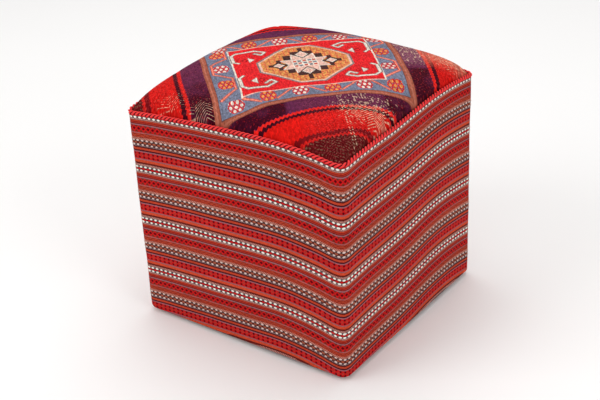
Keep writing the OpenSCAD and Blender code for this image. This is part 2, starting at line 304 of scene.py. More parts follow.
# Feeds an input from a formula, a node or a socket, or sets it to a plain value
def connect(tree, value, entry):
    if isinstance(value, Formula):
        value = value.socket
    if isinstance(value, bpy.types.Node):
        value = value.outputs[0]
    if isinstance(value, bpy.types.NodeSocket):
        tree.links.new(value, entry)
    else:
        entry.default_value = value


# Values feed the inputs in order; names in small letters are settings, and others are inputs
def addNode(tree, kind, *values, **named):
    node = tree.nodes.new(kind)
    for label, value in named.items():
        if label.islower():
            setattr(node, label, value)
        else:
            connect(tree, value, node.inputs[label.replace("_", " ")])
    for entry, value in zip(node.inputs, values):
        connect(tree, value, entry)
    return node


def addVector(tree, operation, *values, **named):
    return addNode(tree, "ShaderNodeVectorMath", *values, operation=operation, **named)


class Formula:
    # A number that a tree works out at each point: the usual signs add Math nodes
    def __init__(self, tree, socket):
        self.tree = tree
        self.socket = socket

    def use(self, operation, *others):
        node = addNode(self.tree, "ShaderNodeMath", self, *others, operation=operation)
        return Formula(self.tree, node.outputs[0])

    def __abs__(self):
        return self.use("ABSOLUTE")

    def __neg__(self):
        return self.use("MULTIPLY", -1.0)


signs = {
    "__add__": "ADD", "__sub__": "SUBTRACT", "__mul__": "MULTIPLY", "__truediv__": "DIVIDE",
    "__mod__": "FLOORED_MODULO", "__lt__": "LESS_THAN", "__gt__": "GREATER_THAN", "__pow__": "POWER",
}
for sign, operation in signs.items():
    setattr(Formula, sign, lambda self, other, kind=operation: self.use(kind, other))


# The farthest of these distances, which is below 0 where all of them are
def allOf(first, *others):
    for other in others:
        first = first.use("MAXIMUM", other)
    return first


# The nearest of these distances, which is below 0 where any of them is
def anyOf(first, *others):
    for other in others:
        first = first.use("MINIMUM", other)
    return first


# 0 at the start and 1 at the end, and even in between
def between(value, start, end):
    return ((value - start) / (end - start)).use("MINIMUM", 1.0).use("MAXIMUM", 0.0)


# Distance outside a rectangle of these half sizes
def outBox(x, y, a, b):
    return allOf(abs(x) - a, abs(y) - b)


def outDiamond(x, y, a, b):
    return (abs(x) / a + abs(y) / b - 1) * (a * b / math.hypot(a, b))


# 1 on the edge of an oval of these half sizes, and less inside
def ovalAt(x, y, a, b):
    return (x / a) ** 2.0 + (y / b) ** 2.0


# Distance outside a straight stroke from one point to another
def outStroke(x, y, start, end, thick):
    length = math.dist(start, end)
    cx = (start[0] + end[0]) / 2
    cy = (start[1] + end[1]) / 2
    dx = (end[0] - start[0]) / length
    dy = (end[1] - start[1]) / length
    along = (x - cx) * dx + (y - cy) * dy
    across = (x - cx) * -dy + (y - cy) * dx
    return outBox(along, across, length / 2, thick / 2)


# The two flat coordinates of a place, in mm unless another scale is given
def splitPlace(tree, vector, scale=1000.0):
    node = addNode(tree, "ShaderNodeSeparateXYZ", vector)
    return [Formula(tree, socket) * scale for socket in node.outputs[:2]]


def noiseAt(tree, vector, size, detail=2.0, stretch=(1, 1, 1)):
    scaled = addVector(tree, "MULTIPLY", vector, [s / size for s in stretch])
    node = addNode(tree, "ShaderNodeTexNoise", Vector=scaled, Scale=1.0, Detail=detail)
    return Formula(tree, node.outputs[0])


def srgb(red, green, blue):
    shares = [c / 255 for c in (red, green, blue)]
    return tuple(c / 12.92 if c <= 0.04045 else ((c + 0.055) / 1.055) ** 2.4 for c in shares) + (1.0,)


# A material while it is painted; place is where a point lies on the piece or on its flat cloth
class Paint:
    def __init__(self, name, roughness, colour=(0, 0, 0), flatCloth=False, **sockets):
        self.material = bpy.data.materials.new(name)
        self.material.use_nodes = True
        self.tree = self.material.node_tree
        self.tree.nodes.clear()
        self.shader = addNode(self.tree, "ShaderNodeBsdfPrincipled", Roughness=roughness, **sockets)
        addNode(self.tree, "ShaderNodeOutputMaterial", self.shader)
        if flatCloth:
            self.place = addNode(self.tree, "ShaderNodeUVMap", uv_map="cloth").outputs[0]
        else:
            self.place = addNode(self.tree, "ShaderNodeTexCoord").outputs["Object"]
        self.colour = srgb(*colour)

    # Flat bands of colour: each stop is where a band begins, in mm
    def bands(self, value, span, stops):
        node = self.tree.nodes.new("ShaderNodeValToRGB")
        ramp = node.color_ramp
        ramp.interpolation = "CONSTANT"
        while len(ramp.elements) < len(stops):
            ramp.elements.new(1.0)
        for element, (place, colour) in zip(ramp.elements, stops):
            element.position = place / span
            element.color = srgb(*dyes.get(colour, colour))
        connect(self.tree, value / span, node.inputs[0])
        self.colour = node.outputs[0]

    # A dye or another colour, laid over the rest where the mask is 1
    def over(self, mask, colour):
        node = addNode(self.tree, "ShaderNodeMix", mask, data_type="RGBA")
        connect(self.tree, self.colour, node.inputs[6])
        connect(self.tree, srgb(*dyes.get(colour, colour)), node.inputs[7])
        self.colour = node.outputs[2]

    # Layers of colour, each where the distance is below its limit
    def layers(self, distance, *layers):
        for limit, colour in layers:
            self.over(distance < limit, colour)

    # Darker or lighter by a factor that changes over the surface
    def shade(self, factor):
        colour = self.colour[:3] if isinstance(self.colour, tuple) else self.colour
        self.colour = addVector(self.tree, "SCALE", colour, Scale=factor).outputs[0]

    def noise(self, size, detail=2.0, stretch=(1, 1, 1)):
        return noiseAt(self.tree, self.place, size, detail, stretch)

    def group(self, group, **values):
        return useGroup(self.tree, group, Place=self.place, **values)

    def done(self, height=None, relief=0.0, roughness=None):
        connect(self.tree, self.colour, self.shader.inputs["Base Color"])
        if roughness:
            connect(self.tree, roughness, self.shader.inputs["Roughness"])
        if height:
            bump = addNode(self.tree, "ShaderNodeBump", Distance=relief, Height=height)
            connect(self.tree, bump, self.shader.inputs["Normal"])
        return self.material


# Node groups that several materials share

def formulasOf(tree, node):
    return {socket.name: Formula(tree, socket) for socket in node.outputs}


# An input without a value is a place
def newGroup(name, inputs, outputs):
    tree = bpy.data.node_groups.new(name, "ShaderNodeTree")
    for label, value in inputs.items():
        kind = "NodeSocketVector" if value is None else "NodeSocketFloat"
        socket = tree.interface.new_socket(label, in_out="INPUT", socket_type=kind)
        if value is not None:
            socket.default_value = value
    for label in outputs:
        tree.interface.new_socket(label, in_out="OUTPUT", socket_type="NodeSocketFloat")
    given = formulasOf(tree, tree.nodes.new("NodeGroupInput"))
    return tree, given, tree.nodes.new("NodeGroupOutput").inputs


def useGroup(tree, group, **values):
    return formulasOf(tree, addNode(tree, "ShaderNodeGroup", node_tree=group, **values))


# Packed yarn: ribs one way, and short stitches that step by half from rib to rib
def makeYarnGroup():
    inputs = {"Place": None, "Rib": 2.0, "Stitch": 1.0, "Speckle": 0.3}
    tree, given, result = newGroup("packedYarn", inputs, ["Height", "Shade"])
    x, y = splitPlace(tree, given["Place"])
    rib = x / given["Rib"]
    stitch = y / given["Stitch"] + rib.use("FLOOR") * 0.5
    across = abs((rib % 1.0) - 0.5) * 2
    along = abs((stitch % 1.0) - 0.5) * 2
    height = across ** 3.0 * -0.55 + along ** 2.0 * -0.45 + 1.0
    connect(tree, height, result["Height"])
    cell = addNode(tree, "ShaderNodeCombineXYZ", rib.use("FLOOR"), stitch.use("FLOOR"))
    speck = addNode(tree, "ShaderNodeTexWhiteNoise", Vector=cell)
    # Each stitch gets a random tone, and the low parts of the yarn between ribs and stitches get painted
    # shade
    shade = Formula(tree, speck.outputs["Value"]) * given["Speckle"] + height * 0.26 + 0.82
    connect(tree, shade - given["Speckle"] * 0.5, result["Shade"])
    return tree


# Loose wool fibres: a fine fuzz, and broad patches where the dye took differently
def makeWoolGroup():
    tree, given, result = newGroup("woolDye", {"Place": None, "Patch": 0.05, "Depth": 0.2}, ["Fuzz", "Dye"])
    connect(tree, noiseAt(tree, given["Place"], 0.0006), result["Fuzz"])
    place = addVector(tree, "SCALE", given["Place"], Scale=given["Patch"] ** -1.0)
    dye = noiseAt(tree, place, 1.0, 3.0, (0.4, 1.6, 1.0))
    connect(tree, (dye - 0.5) * given["Depth"] + 1.0, result["Dye"])
    return tree


yarnGroup = makeYarnGroup()
woolGroup = makeWoolGroup()


# The last coat of a woven cloth: its yarn, with painted shade where the yarn dips between stitches, its fuzz
# and its uneven dye
def weaveCloth(paint, cloth, rib):
    yarn = paint.group(yarnGroup, Rib=rib, Stitch=cloth["stitch"], Speckle=cloth["speckle"])
    wool = paint.group(woolGroup, Patch=cloth["patch"], Depth=cloth["dyeDepth"])
    paint.shade(yarn["Shade"] * wool["Dye"])
    paint.shade((wool["Fuzz"] - 0.467) * cloth["fuzz"] + 1.0)
    height = yarn["Height"] + wool["Fuzz"] * cloth["fuzzHeight"]
    return paint.done(height, cloth["relief"], wool["Fuzz"] * 0.2 + cloth["roughness"])


spun = {"strand": 0.0011, "patch": 0.02, "dyeDepth": 0.35, "relief": 0.0003}  # metres, and a share of the dye


# Spun wool: its strands, its fuzz and its uneven dye
def spinWool(paint, roughness=None):
    wool = paint.group(woolGroup, Patch=spun["patch"], Depth=spun["dyeDepth"])
    strand = paint.noise(spun["strand"], 1.0, (1, 1, 3))
    paint.shade((strand * 0.3 + 0.86) * wool["Dye"])
    varied = wool["Fuzz"] * 0.2 + (roughness - 0.1) if roughness else None
    return paint.done(strand + wool["Fuzz"], spun["relief"], varied)

# Kilim top

kilim = {
    "steps": 190, "thickness": 0.003, "centre": (0.00675, 0.0105),  # the star's place, on the turned axes
    "rib": 1.9, "stitch": 4.2, "speckle": 0.5,  # mm, and how much one stitch differs from the next
    "fuzz": 0.3, "fuzzHeight": 0.5, "roughness": 0.76,
    "relief": 0.0006, "patch": 0.045, "dyeDepth": 0.4,
}

# The cloth was stretched unevenly: each pull is a place in mm on the turned axes, its spread,
# and the pattern's shift there
pulls = [
    (-130, -122, 26, 1.0, -14.0), (128, -122, 24, -5.0, -9.0), (-100, -172, 34, -2.0, -10.0),
    (104, -170, 34, -0.5, -7.5), (15, -152, 36, 0.0, 5.5), (95, -72, 34, -1.5, 4.5),
    (-88, 72, 34, -1.5, -3.0), (-126, -106, 15, -2.5, -4.5), (-200, 0, 36, -2.5, 0.0),
    (-185, -80, 24, 2.0, -0.5), (200, 10, 36, 1.0, 0.0), (-20, -235, 34, 0.0, -6.0),
]

dyes = {
    "red": (230, 42, 46), "deepRed": (196, 20, 28), "plum": (96, 36, 70), "darkPlum": (56, 2, 24),
    "slate": (122, 128, 150), "brown": (164, 88, 68), "gold": (222, 150, 84), "terracotta": (206, 84, 66),
    "pink": (230, 184, 168), "umber": (74, 46, 44), "white": (228, 216, 202), "orange": (224, 146, 80),
    "maroon": (90, 9, 13), "vine": (236, 134, 112), "vineEdge": (180, 62, 52), "darkRed": (122, 12, 20),
    "petalRed": (202, 38, 40), "stone": (128, 118, 116), "cream": (232, 196, 164),
}

# Measures of the pattern, in mm from the star's middle
motif = {
    "right": 142.5, "left": 149.5, "far": 113.5, "near": 117.0,  # outer edges of the slate border
    "rowMiddle": 99.75, "sideMiddle": 129.25, "plum": (11.0, 44.0),  # the plum zone, from the slate's edge
    "field": (112.0, 85.0), "octagon": (75.5, 73.4, 96.1), "checks": (18.6, 14.5), "check": (7.8, 9.7),
    "rosettes": 50.0, "sideRosettes": 60.0, "keys": (9.0, 15.0),  # how often each is repeated
    "tooth": 3.2, "chevron": (17.0, 4.4),
}

# Stripes outside the frame: where each begins, from 10 mm inside the border's edge outwards
outerStripes = [
    (0, "slate"), (10, (100, 66, 66)), (11.4, "brown"), (15, (180, 106, 86)), (17.5, "brown"),
    (20, (112, 58, 52)), (21, "plum"), (54.4, (222, 34, 28)), (60.0, (58, 6, 22)),
    (66.4, (212, 22, 16)), (108.8, (122, 12, 18)), (116.6, (206, 28, 24)), (120.6, "maroon"),
]

# Spots where the pale warp shows through: middle, half sizes, and how much less it is worn
wornSpots = [
    ((76, -190), (30, 26), 0.0), ((58, -165), (44, 44), 0.2), ((-177, -104), (26, 30), -0.1),
    ((-222, -52), (34, 26), 0.6), ((173, 30), (30, 66), 0.35), ((233, 10), (40, 40), 0.0),
]

# Strokes of the hooks in the red field's corners: start, end and thickness
hookStrokes = [
    ((101.5, 24), (109, 31.5), 3.2), ((109.5, 30), (109.5, 64), 4.2), ((109, 62.5), (101, 71), 3.2),
    ((102, 71), (70, 71.5), 3.4), ((71.5, 72), (55, 59), 3.0), ((55, 60), (63, 49), 3.0),
    ((62.5, 49.5), (73, 60.5), 3.0),
]

# Dark steps round the star: middle and half sizes
starSteps = [
    (0, 0, 3.4, 61.5), (0, 0, 58.5, 4.6), (11.2, 40.5, 6.8, 6.4), (25.6, 25.6, 5.6, 7.8),
    (40.4, 14.2, 3.8, 6.0),
]


# Where the point lies on the flat kilim: it was woven square and turned by 45 degrees
def kilimCloth(point):
    p = (point.x + point.y) * math.sqrt(0.5) - kilim["centre"][0]
    q = (point.y - point.x) * math.sqrt(0.5) - kilim["centre"][1]
    flatP = p
    flatQ = q
    for placeP, placeQ, spread, shiftP, shiftQ in pulls:
        away = ((p / mm - placeP) ** 2 + (q / mm - placeQ) ** 2) / (2 * spread * spread)
        share = math.exp(-away) * mm
        flatP -= shiftP * share
        flatQ -= shiftQ * share
    return flatP, flatQ


# Seven petals on a ground with a lobed outline
def makeRosetteGroup():
    tree, given, result = newGroup("kilimRosette", {"X": 0.0, "Y": 0.0}, ["Ground", "Petals"])
    x = given["X"]
    y = given["Y"]
    within = ovalAt(x, y, 13.2, 15.4) < 1.0
    row = abs((y / 9.6).use("ROUND"))
    dy = y - (y / 9.6).use("ROUND") * 9.6
    dx = ((x + 4.2 + row * 4.2) % 8.4) - 4.2
    petal = ovalAt(dx, dy, 2.45, 3.6)
    inside = within * (row < 1.5)
    connect(tree, inside * (petal < 3.0), result["Ground"])
    connect(tree, inside * (petal < 1.0) * (abs(x) < 11.5), result["Petals"])
    return tree


rosetteGroup = makeRosetteGroup()


def paintRosettes(paint, x, y, where, white):
    found = useGroup(paint.tree, rosetteGroup, X=x, Y=y)
    paint.over(where * found["Ground"], "petalRed")
    petals = where * found["Petals"]
    paint.over(petals, "orange")
    paint.over(petals * white, "white")


# A pale stroke with darker edges
def paintVine(paint, away, where):
    paint.over((away < 2.3) * where, "vineEdge")
    paint.over((away < 1.35) * where, "vine")


# The stripes outside the frame, and the places where they are faded, deeper or worn
def paintOutside(paint, exactP, exactQ, p, q, outside, sideways, level):
    plumStart, plumEnd = motif["plum"]

    # Lines between the stripes are toothed
    along = q + (p - q) * (level > sideways)
    teeth = (along.use("PINGPONG", motif["tooth"]) - motif["tooth"] / 2) * ((sideways > level) * -0.5 + 1.1)
    teeth = teeth * (outside > 30.0)
    paint.bands(outside + teeth + 10, 150, outerStripes)
    beyond = outside > plumStart
    front = (level > sideways) * (q < 0.0)
    flank = sideways > level
    speck = paint.noise(0.0026, 1.0)
    drift = paint.noise(0.03)
    left = p < 0.0
    deepFront = between(exactP, -52, -58) + between(exactP, 89, 99)
    deepFlank = between(exactQ, -42, -50) * (p > 0.0) + between(exactQ, 0, -70) * left
    deep = deepFront * front + deepFlank * flank
    inPlum = beyond * ((outside + teeth) < plumEnd)
    paint.over(((drift - 0.5) * 2.0 + deep) * inPlum * 0.95, "darkPlum")
    faded = between(exactQ, -42, -14) * (p > 0.0) * flank
    paint.over(faded * inPlum * 0.4, (158, 106, 124))
    paint.over(faded * (outside > plumEnd) * (speck + 0.25) * 0.85, (228, 104, 82))

    # Woven strokes in a herringbone, light and dark, where the wool isn't plain
    width, pitch = motif["chevron"]
    chevron = (exactQ - (exactP - 50.0).use("PINGPONG", width) * 0.75) % pitch
    plain = between(exactP, -44, -22) * front + flank
    light = (speck - 0.4) * (chevron < 2.0) * beyond * (deep * -0.6 + 1.0) * plain
    paint.over(light * 1.1, (196, 92, 92))
    paint.over((speck * -1.0 + 0.5) * beyond * plain * 2.0, (66, 0, 10))
    paint.over((speck - 0.58) * deep * inPlum * 4.0, (176, 30, 24))

    # Where the pale warp shows through, in finer strokes on the left
    worn = anyOf(*(ovalAt(exactP - x, exactQ - y, a, b) + less for (x, y), (a, b), less in wornSpots))
    knots = paint.noise(0.005, 1.0, (1.5, 0.7, 1.0))
    dots = between(knots + speck * 0.4 - worn * 0.1, 0.7, 0.77) * inPlum * (p > 0.0)
    strokes = (chevron + left * (speck * -2.0 + 1.75)) < 1.6
    shown = between((knots - 0.5) * 5.0 - worn * 1.2, -1.2, 0.0) * strokes * beyond
    paint.over(shown * (deep * 0.8 + (outside > plumEnd) * (left * -0.55 + 1.0)) * 0.8, "cream")
    paint.over(dots * 0.58, "cream")
    spine = (abs(abs(exactP - 27.4) - 2.2) < 0.9) * (((exactQ + exactP) % 5.6) < 2.6) * beyond * (q < 0.0)
    paint.over(spine * between(knots + speck * 0.5, 0.66, 0.76) * 0.75, "cream")
    dashes = (outside > 110.0) * (((exactP * 0.7 + exactQ) % 5.2) < 1.6) * (speck > 0.52)
    paint.over(dashes * 0.45, (124, 112, 86))
    paint.over((speck - 0.46) * (outside < 0.0) * 3.0, (88, 82, 92))


# The vine and the rosettes of the slate border
def paintBorder(paint, p, q, inBorder):
    row = motif["rosettes"]
    side = p.use("SIGN")
    inRow = (abs(q) > 87.0) * inBorder
    inSide = (abs(p) > 114.5) * inBorder
    across = q - q.use("SIGN") * motif["rowMiddle"]
    fold = (p + row / 2).use("PINGPONG", row) - row / 2
    paintVine(paint, outStroke(fold, across, (-12, 11), (12, -11), 0), inRow * (abs(p) < 128.0))
    height = q - side * 3.5
    offset = p - side * motif["sideMiddle"] + 2.75
    swing = ((height - 18.0).use("PINGPONG", motif["sideRosettes"]) - motif["sideRosettes"] / 2) * 1.25
    sloping = abs(swing) < 13.0
    away = abs(offset - swing.use("MAXIMUM", -13.0).use("MINIMUM", 13.0)) * (sloping * -0.37 + 1.0)
    paintVine(paint, away, inSide * (height > -84.0) * (q < 92.0))
    step = (height + 72.5) / motif["sideRosettes"]
    whiteSide = ((step.use("FLOOR") + (p > 0.0)) % 2.0) > 0.5
    up = ((step % 1.0) - 0.5) * motif["sideRosettes"]
    paintRosettes(paint, offset, up, inSide * (abs(q) < 90.0), whiteSide)
    whiteRow = ((p / row).use("FLOOR") % 2.0) > 0.5
    paintRosettes(paint, p.use("PINGPONG", row) - row / 2, across, inRow, whiteRow)


# The red field with its pale edges, hooks and little triangles
def paintField(paint, p, q, x, y):
    wide, high = motif["field"]
    field = outBox(p, q, wide, high)
    grain = paint.noise(0.004, 1.0, (1.8, 0.5, 1.0))
    paint.over(field < 2.4, "pink")
    paint.over(allOf(abs(x - wide - 0.6), y - high) < 1.5, "white")
    paint.over(field < 0.0, "red")
    paint.over((grain - 0.45) * (field < 0.0) * 3.0, "deepRed")
    hook = anyOf(*(outStroke(x, y, *stroke) for stroke in hookStrokes))
    paint.layers(hook, (1.4, "stone"), (0.0, "white"))
    paint.over(outStroke(x, y, (63.5, 56.5), (69.5, 63), 2.6) < 0.0, "terracotta")

    # Each triangle stands beside a dark-edged diamond
    tall = abs(q + 6.5) - 41.5
    beside = (x - 84.2) * (-q).use("SIGN")
    flag = allOf(-beside - 0.4, abs(tall) + beside * 1.05 - 9.0)
    paint.layers(flag, (1.2, "stone"), (0.0, "white"))
    gem = outDiamond(beside + 6.9, tall, 5.6, 6.8)
    paint.layers(gem, (0.0, "darkRed"), (-1.4, "red"))


# The gold octagon, with keys all over it
def paintOctagon(paint, p, q, x, y):
    wide, high, slope = motif["octagon"]
    octagon = allOf(x - wide, y - high, (x + y * 1.03 - slope) * 0.697)
    paint.layers(octagon, (0.0, "stone"), (-3.0, "pink"), (-6.0, "gold"))
    keyWide, keyHigh = motif["keys"]
    column = (p / keyWide + 0.5).use("FLOOR")
    keyX = (p + keyWide / 2) % keyWide - keyWide / 2
    keyY = (q + column * 6.5) % keyHigh
    keys = anyOf(
        allOf(abs(keyX) - 1.3, keyY - 12.5), allOf(abs(keyX - 1.4) - 2.9, abs(keyY - 1.6) - 1.5),
        allOf(abs(keyX + 1.4) - 2.9, abs(keyY - 11.0) - 1.5),
    )
    paint.over((keys < 0.0) * (octagon < -7.5) * 0.9, "terracotta")


# The star with its dark steps, its four diamonds and its checks
def paintStar(paint, p, q, x, y):
    steps = anyOf(*(outBox(x - across, y - up, a, b) for across, up, a, b in starSteps))
    paint.layers(steps, (0.0, "umber"))
    gems = anyOf(outDiamond(x, abs(q - 1.8) - 33.2, 10.8, 12.0), outDiamond(x - 42.0, y, 9.0, 8.6))
    paint.layers(gems, (3.8, "umber"))
    upright = allOf(y - x * 0.886 - 20.0, x + y * 0.108 - 21.3)
    star = anyOf(upright, allOf(x - y * 0.665 - 25.5, y - 17.4))
    paint.layers(star, (1.0, "white"), (-0.9, "pink"))
    paint.over((abs(x - 19.5) < 0.6) * (y < 18.0), "white")
    paint.layers(gems, (2.3, "umber"), (0.0, "white"), (-1.5, "pink"))
    wide, high = motif["check"]
    checkX = p / wide + 0.5
    checkY = (q - 0.8) / high + 0.5
    inChecks = outBox(p, q - 0.8, *motif["checks"])
    paint.over(inChecks < 0.0, "white")
    odd = ((checkX.use("FLOOR") + checkY.use("FLOOR")) % 2.0) > 0.5
    cell = allOf(abs((checkX % 1.0) - 0.5) * wide - 2.7, abs((checkY % 1.0) - 0.5) * high - 3.2, inChecks)
    paint.over(cell < 0.0, (116, 118, 128))
    paint.over((cell < 0.0) * odd, "terracotta")


def makeKilimMaterial():
    paint = Paint("kilimWool", 0.9, flatCloth=True, Specular_IOR_Level=0.05)
    exactP, exactQ = splitPlace(paint.tree, paint.place)
    p = exactP.use("SNAP", 0.9) + 0.45  # the pattern goes in steps of one stitch
    q = exactQ.use("SNAP", 1.2) + 0.6
    sideways = allOf(p - motif["right"], -p - motif["left"])
    level = allOf(q - motif["far"], -q - motif["near"])
    outside = allOf(sideways, level)
    paintOutside(paint, exactP, exactQ, p, q, outside, sideways, level)
    paintBorder(paint, p, q, outside < 0.0)
    x = abs(p)
    y = abs(q)
    paintField(paint, p, q, x, y)
    paintOctagon(paint, p, q, x, y)
    paintStar(paint, p, q, x, y)
    return weaveCloth(paint, kilim, kilim["rib"])


def makeKilimTop():
    lower = underTop(kilim["thickness"])
    top = closedSheet("kilimTop", spacedSteps(kilim["steps"]), topPoint, lower, kilimCloth)
    top.data.materials.append(makeKilimMaterial())
    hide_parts("kilim_top")
    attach(top, "root")


makeKilimTop()
print("kilim top woven")

# Side band: one strip of striped weaving round the box, its hem turned under

band = {
    "thickness": 0.003, "hem": 0.048, "hemGap": 0.0003,
    "wallRows": 124, "bendRows": 6, "hemRows": 8, "innerRows": 12,
    "top": 0.0072,  # how far under the seam line the band begins, behind the cord
    "lowest": 0.37,  # the rows drop no further below this
    "ahead": 0.01, "below": 0.002, "turning": 0.985,  # where a stitch looks for its direction
    "sideSteps": 86, "endSteps": 5, "firstRow": 0.008, "period": 0.0945, "palePlace": 0.0472, "repeats": 4,
    "beadsRound": 170, "ribsPerBead": 4, "stitch": 0.95, "speckle": 0.35,
    "fuzz": 0.0, "fuzzHeight": 0.4, "roughness": 0.72, "relief": 0.0006, "patch": 0.06, "dyeDepth": 0.3,
}
beadPitch = perimeter / band["beadsRound"]

# Raised stitches beside a row's middle: how far from it, their length, width and height, and their colour
floats = {
    "whiteFloats": {"gap": 0.0034, "size": (0.0060, 0.0036, 0.0022), "colour": (244, 240, 230)},
    "paleFloats": {"gap": 0.0038, "size": (0.0054, 0.0032, 0.0018), "colour": (222, 196, 188)},
}

# Where each stripe begins, in mm down from the middle of a white row
stripes = [
    (0, (120, 26, 30)), (1.5, (98, 86, 86)), (5.2, (206, 156, 148)), (7.2, (104, 42, 36)),
    (8.8, (196, 66, 42)), (10.6, (152, 20, 20)), (12.3, (184, 58, 40)), (13.3, (110, 14, 18)),
    (15.4, (164, 104, 112)), (17.3, (210, 26, 28)), (28.9, (160, 104, 108)), (30.9, (198, 74, 50)),
    (38.2, (222, 146, 128)), (42.0, (92, 62, 60)), (45.5, (96, 40, 34)), (49.1, (90, 66, 66)),
    (52.2, (150, 138, 142)), (54.2, (84, 18, 20)), (56.8, (200, 70, 44)), (60.0, (62, 4, 26)),
    (62.6, (164, 98, 106)), (64.8, (208, 26, 28)), (75.8, (160, 96, 102)), (78.0, (216, 78, 48)),
    (82.9, (104, 28, 22)), (85.5, (206, 144, 132)), (88.3, (98, 86, 86)), (92.4, (120, 26, 30)),
]
paleLines = [(6.2, 1.0), (40.1, 1.9), (53.2, 1.0), (86.9, 1.4)]  # middle and half width
chains = {"diamonds": 23.0, "rings": 70.0, "twill": 34.6}  # their middles


# The section of the band: down the outer face, round the bend, along the hem and back up inside
def bandSection():
    r = pouf["bottomRadius"]
    thin = band["thickness"]
    reach = (band["hem"] - r) / band["hemRows"]
    turn = math.pi / 2 / band["bendRows"]

    def bend(k, arm):
        return "bend", r - arm * math.cos(k * turn), r - arm * math.sin(k * turn)

    section = [("wall", k / (band["wallRows"] - 1), 0.0) for k in range(band["wallRows"])]
    section += [bend(k, r) for k in range(1, band["bendRows"] + 1)]
    section += [("flat", r + reach * k, 0.0) for k in range(1, band["hemRows"] + 1)]
    section += [("flat", r + reach * k, thin - band["hemGap"]) for k in range(band["hemRows"], -1, -1)]
    section += [bend(k, r - thin) for k in range(band["bendRows"] - 1, 0, -1)]
    section += [("wall", k / band["innerRows"], thin) for k in range(band["innerRows"], -1, -1)]
    return section


bandRows = bandSection()


def bandPoint(side, t, row):
    kind, a, b = bandRows[row % len(bandRows)]
    u, v = ringPoint(side, t)
    low = pouf["clothBottom"]
    if kind == "wall":
        first = band["top"] + rowDrop(aroundAt(side, t), 0)
        last = seamHeight(u, v) - low - pouf["bottomRadius"]
        return wallPoint(side, t, first + (last - first) * a, b)
    x, y = planPoint(u, v, a)
    hold = min(1.0, (band["hem"] - a) / (band["hem"] - pouf["bottomRadius"]))
    return Vector((x, y, low + b)) + leanAt(u, v, 0) * hold


# Where the point lies on the flat strip: how far round the pouf, and how far below the seam
def bandCloth(around, column, row):
    kind, a, b = bandRows[row % len(bandRows)]
    u, v = ringPoint(*column)
    r = pouf["bottomRadius"]
    wall = seamHeight(u, v) - pouf["clothBottom"] - r
    if kind == "wall":
        first = band["top"] + rowDrop(around, 0)
        depth = first + (wall - first) * a
    elif kind == "bend":
        depth = wall + min(a, r) * math.pi / 2
    else:
        depth = wall + r * (math.pi / 2 - 1) + a
    return around, depth - rowDrop(around, min(depth, band["lowest"]))


def makeBandMaterial():
    paint = Paint("bandWool", 0.85, flatCloth=True, Specular_IOR_Level=0.05)
    exactU, exactV = splitPlace(paint.tree, paint.place)
    pitch = beadPitch / mm
    period = band["period"] / mm
    u = exactU.use("SNAP", pitch / 10) + pitch / 20  # the stripes go in steps of one stitch
    v = exactV.use("SNAP", 0.75) + 0.375
    t = (v - band["firstRow"] / mm) % period
    paint.bands(t, period, stripes)

    # Distance from the middle between two columns of beads, and from a column
    gap = abs((u % pitch) - pitch / 2)
    column = -gap + pitch / 2

    # Red dashes and terracotta squares between the beads
    paint.over(((t < 1.4) + (t > 93.0)) * (gap < 2.6), (218, 24, 28))
    paint.over((abs(t - band["palePlace"] / mm) < 1.5) * (gap < 2.6), (178, 92, 68))

    # Short slanting strokes in the pale lines beside the beads
    strokes = ((exactU + exactV) % (pitch / 3)) < (pitch / 6.6)
    beside = anyOf(*(abs(t - middle) - half for middle, half in paleLines))
    paint.over((beside < 0.0) * strokes * 0.85, (104, 46, 42))

    # Chain of diamonds with dark middles
    chain = abs(t - chains["diamonds"])
    paint.layers(outDiamond(gap, chain, 3.3, 2.6), (0.0, (92, 0, 8)))
    paint.layers(allOf(column - (chain - 1.6) * 0.95, chain - 5.4), (0.0, (118, 48, 32)))

    # Chain with dark dots at both edges and small rings in its middle
    chain = abs(t - chains["rings"])
    paint.over(ovalAt(column, chain - 3.5, 2.3, 1.7) < 1.0, (92, 2, 12))
    paint.over(abs(ovalAt(gap, chain, 2.2, 1.9) - 0.75) < 0.35, (168, 78, 62))

    # Twill lines in the brown-red stripe, and a faint slant over the whole weaving
    lines = ((exactU * 0.06 + t) % 2.6) < 1.15
    paint.over((abs(t - chains["twill"]) < 3.6) * lines * 0.85, (116, 22, 18))
    slant = ((exactU * 0.35 + exactV) % 2.2) < 0.9
    paint.over(slant * 0.16, (60, 4, 8))
    return weaveCloth(paint, band, pitch / band["ribsPerBead"])


# Geometry Nodes: each tree ends with its result in the material that it was given

def newGeometryTree(name, inputs):
    tree = bpy.data.node_groups.new(name, "GeometryNodeTree")
    tree.interface.new_socket("Geometry", in_out="OUTPUT", socket_type="NodeSocketGeometry")
    tree.interface.new_socket("Geometry", in_out="INPUT", socket_type="NodeSocketGeometry")
    names = {}
    for label, kind in inputs.items():
        socket = tree.interface.new_socket(label, in_out="INPUT", socket_type="NodeSocket" + kind)
        names[label] = socket.identifier
    return tree, names, tree.nodes.new("NodeGroupInput").outputs


def endTree(tree, geometry, material):
    finish = addNode(tree, "GeometryNodeSetMaterial", Geometry=geometry, Material=material)
    addNode(tree, "NodeGroupOutput", finish)


# Runs the tree on a starting mesh and keeps the result as a plain mesh
def growMesh(name, start, tree, names, values, slotName):
    seed = addObject(name + "Start", start)
    modifier = seed.modifiers.new(name, "NODES")
    modifier.node_group = tree
    for label, value in values.items():
        modifier[names[label]] = value
    graph = bpy.context.evaluated_depsgraph_get()
    mesh = bpy.data.meshes.new_from_object(seed.evaluated_get(graph))
    mesh.name = name
    bpy.data.objects.remove(seed)
    piece = addObject(name, mesh)
    mesh.shade_smooth()
    return piece


# A mesh of loose points, each with a direction along its row and one out of the cloth
def directedPoints(name, places):
    mesh = bpy.data.meshes.new(name)
    mesh.from_pydata([tuple(p) for p, along, out in places], [], [])
    for label, pick in (("along", 1), ("outward", 2)):
        layer = mesh.attributes.new(label, "FLOAT_VECTOR", "POINT")
        layer.data.foreach_set("vector", [c for place in places for c in place[pick]])
    return mesh


